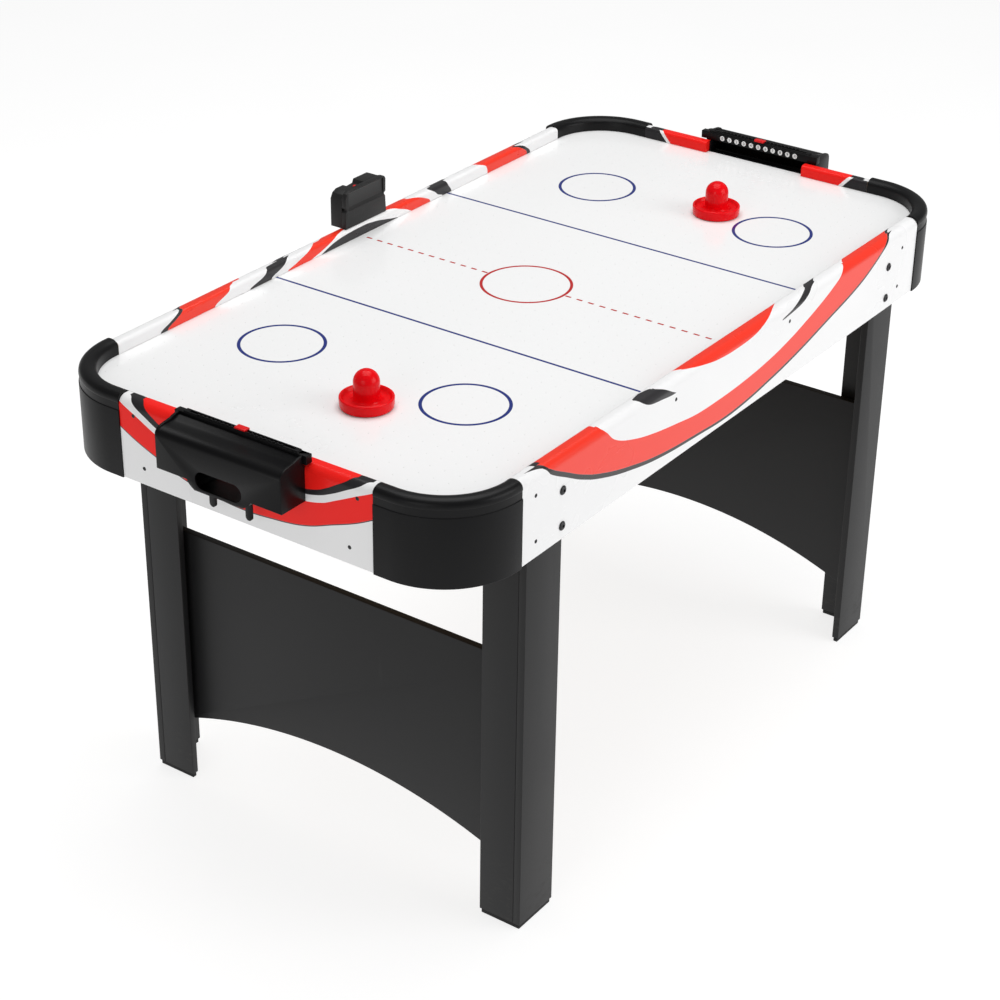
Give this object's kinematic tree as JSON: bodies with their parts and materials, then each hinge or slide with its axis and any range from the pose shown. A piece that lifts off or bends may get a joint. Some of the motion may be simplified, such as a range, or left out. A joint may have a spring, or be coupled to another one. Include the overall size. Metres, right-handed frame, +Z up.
{
  "type": "air hockey table",
  "caption": "Air hockey table: white playfield, printed aprons, rounded black corner caps, goal boxes with score sliders, rail-mounted scorer, red strikers and L-section legs.",
  "frame": {"origin": "on the floor under the middle of the table", "axes": "+X along the table towards the far goal, +Y across it towards the side with the scorer, +Z up"},
  "size_m": [1.524, 0.7729, 0.8525],
  "materials": {
    "cap_plastic": "satin black moulding",
    "raw_board": "bare fibreboard",
    "apron_film": "fibreboard wrapped in white printed film",
    "playfield": "fibreboard with gloss white laminate",
    "black_board": "fibreboard in black film",
    "foot_plastic": "plain",
    "bolt_steel": "black oxide",
    "goal_plastic": "satin black moulding",
    "pointer_plastic": "gloss red",
    "switch_plastic": "gloss red",
    "scorer_plastic": "fine texture",
    "blower_plastic": "plain",
    "motor_steel": "zinc plated can",
    "inlet_plastic": "plain",
    "felt": "pressed felt",
    "striker_plastic": "gloss red moulding"
  },
  "bodies": {
    "table": {"blower_grille": "blower_plastic", "blower_housing": "blower_plastic", "blower_motor": "motor_steel", "corner_block_far_left": "raw_board", "corner_block_far_right": "raw_board", "corner_block_near_left": "raw_board", "corner_block_near_right": "raw_board", "corner_cap_far_left": "cap_plastic", "corner_cap_far_right": "cap_plastic", "corner_cap_near_left": "cap_plastic", "corner_cap_near_right": "cap_plastic", "end_apron_far": "apron_film", "end_apron_near": "apron_film", "end_panel_far": "black_board", "end_panel_near": "black_board", "foot_far_left": "foot_plastic", "foot_far_right": "foot_plastic", "foot_near_left": "foot_plastic", "foot_near_right": "foot_plastic", "goal_box_far": "goal_plastic", "goal_box_near": "goal_plastic", "goal_liner_far": "goal_plastic", "goal_liner_near": "goal_plastic", "leg_bolt_far_left_lower": "bolt_steel", "leg_bolt_far_left_upper": "bolt_steel", "leg_bolt_far_right_lower": "bolt_steel", "leg_bolt_far_right_upper": "bolt_steel", "leg_bolt_near_left_lower": "bolt_steel", "leg_bolt_near_left_upper": "bolt_steel", "leg_bolt_near_right_lower": "bolt_steel", "leg_bolt_near_right_upper": "bolt_steel", "leg_end_board_far_left": "black_board", "leg_end_board_far_right": "black_board", "leg_end_board_near_left": "black_board", "leg_end_board_near_right": "black_board", "leg_side_board_far_left": "black_board", "leg_side_board_far_right": "black_board", "leg_side_board_near_left": "black_board", "leg_side_board_near_right": "black_board", "playfield": "playfield", "plenum_floor": "raw_board", "plenum_frame": "raw_board", "power_inlet": "inlet_plastic", "score_plate_far": "goal_plastic", "score_plate_near": "goal_plastic", "scorer_back": "scorer_plastic", "scorer_front": "scorer_plastic", "side_apron_left": "apron_film", "side_apron_right": "apron_film", "switch_plate": "inlet_plastic"},
    "striker_near": {"striker_near": "striker_plastic", "striker_pad_near": "felt"},
    "striker_far": {"striker_far": "striker_plastic", "striker_pad_far": "felt"},
    "pointer_near": {"score_pointer_near": "pointer_plastic"},
    "pointer_far": {"score_pointer_far": "pointer_plastic"},
    "impeller": {"impeller": "blower_plastic", "motor_shaft": "motor_steel"},
    "power_rocker": {"rocker": "switch_plastic"},
    "scorer_button": {"scorer_button": "switch_plastic"}
  },
  "joints": [
    {"name": "striker_near_slide", "type": "slide", "parent": "table", "child": "striker_near", "axis": [1, 0, 0], "range_m": [-0.15, 0.44]},
    {"name": "striker_far_slide", "type": "slide", "parent": "table", "child": "striker_far", "axis": [1, 0, 0], "range_m": [-0.39, 0.2]},
    {"name": "pointer_near_slide", "type": "slide", "parent": "table", "child": "pointer_near", "axis": [0, 1, 0], "range_m": [-0.075, 0.075]},
    {"name": "pointer_far_slide", "type": "slide", "parent": "table", "child": "pointer_far", "axis": [0, 1, 0], "range_m": [-0.075, 0.075]},
    {"name": "impeller_spin", "type": "hinge", "parent": "table", "child": "impeller", "pos_m": [-0.06, 0, 0.69], "axis": [0, 0, 1], "continuous": true},
    {"name": "power_rocker_tilt", "type": "hinge", "parent": "table", "child": "power_rocker", "pos_m": [-0.3, 0.3806, 0.712], "axis": [0, 0, 1], "range_deg": [0, 14]},
    {"name": "scorer_button_press", "type": "slide", "parent": "table", "child": "scorer_button", "axis": [0, 0, -1], "range_m": [0, 0.002], "stiffness_N_per_m": 400, "springref_m": -0.0006}
  ]
}
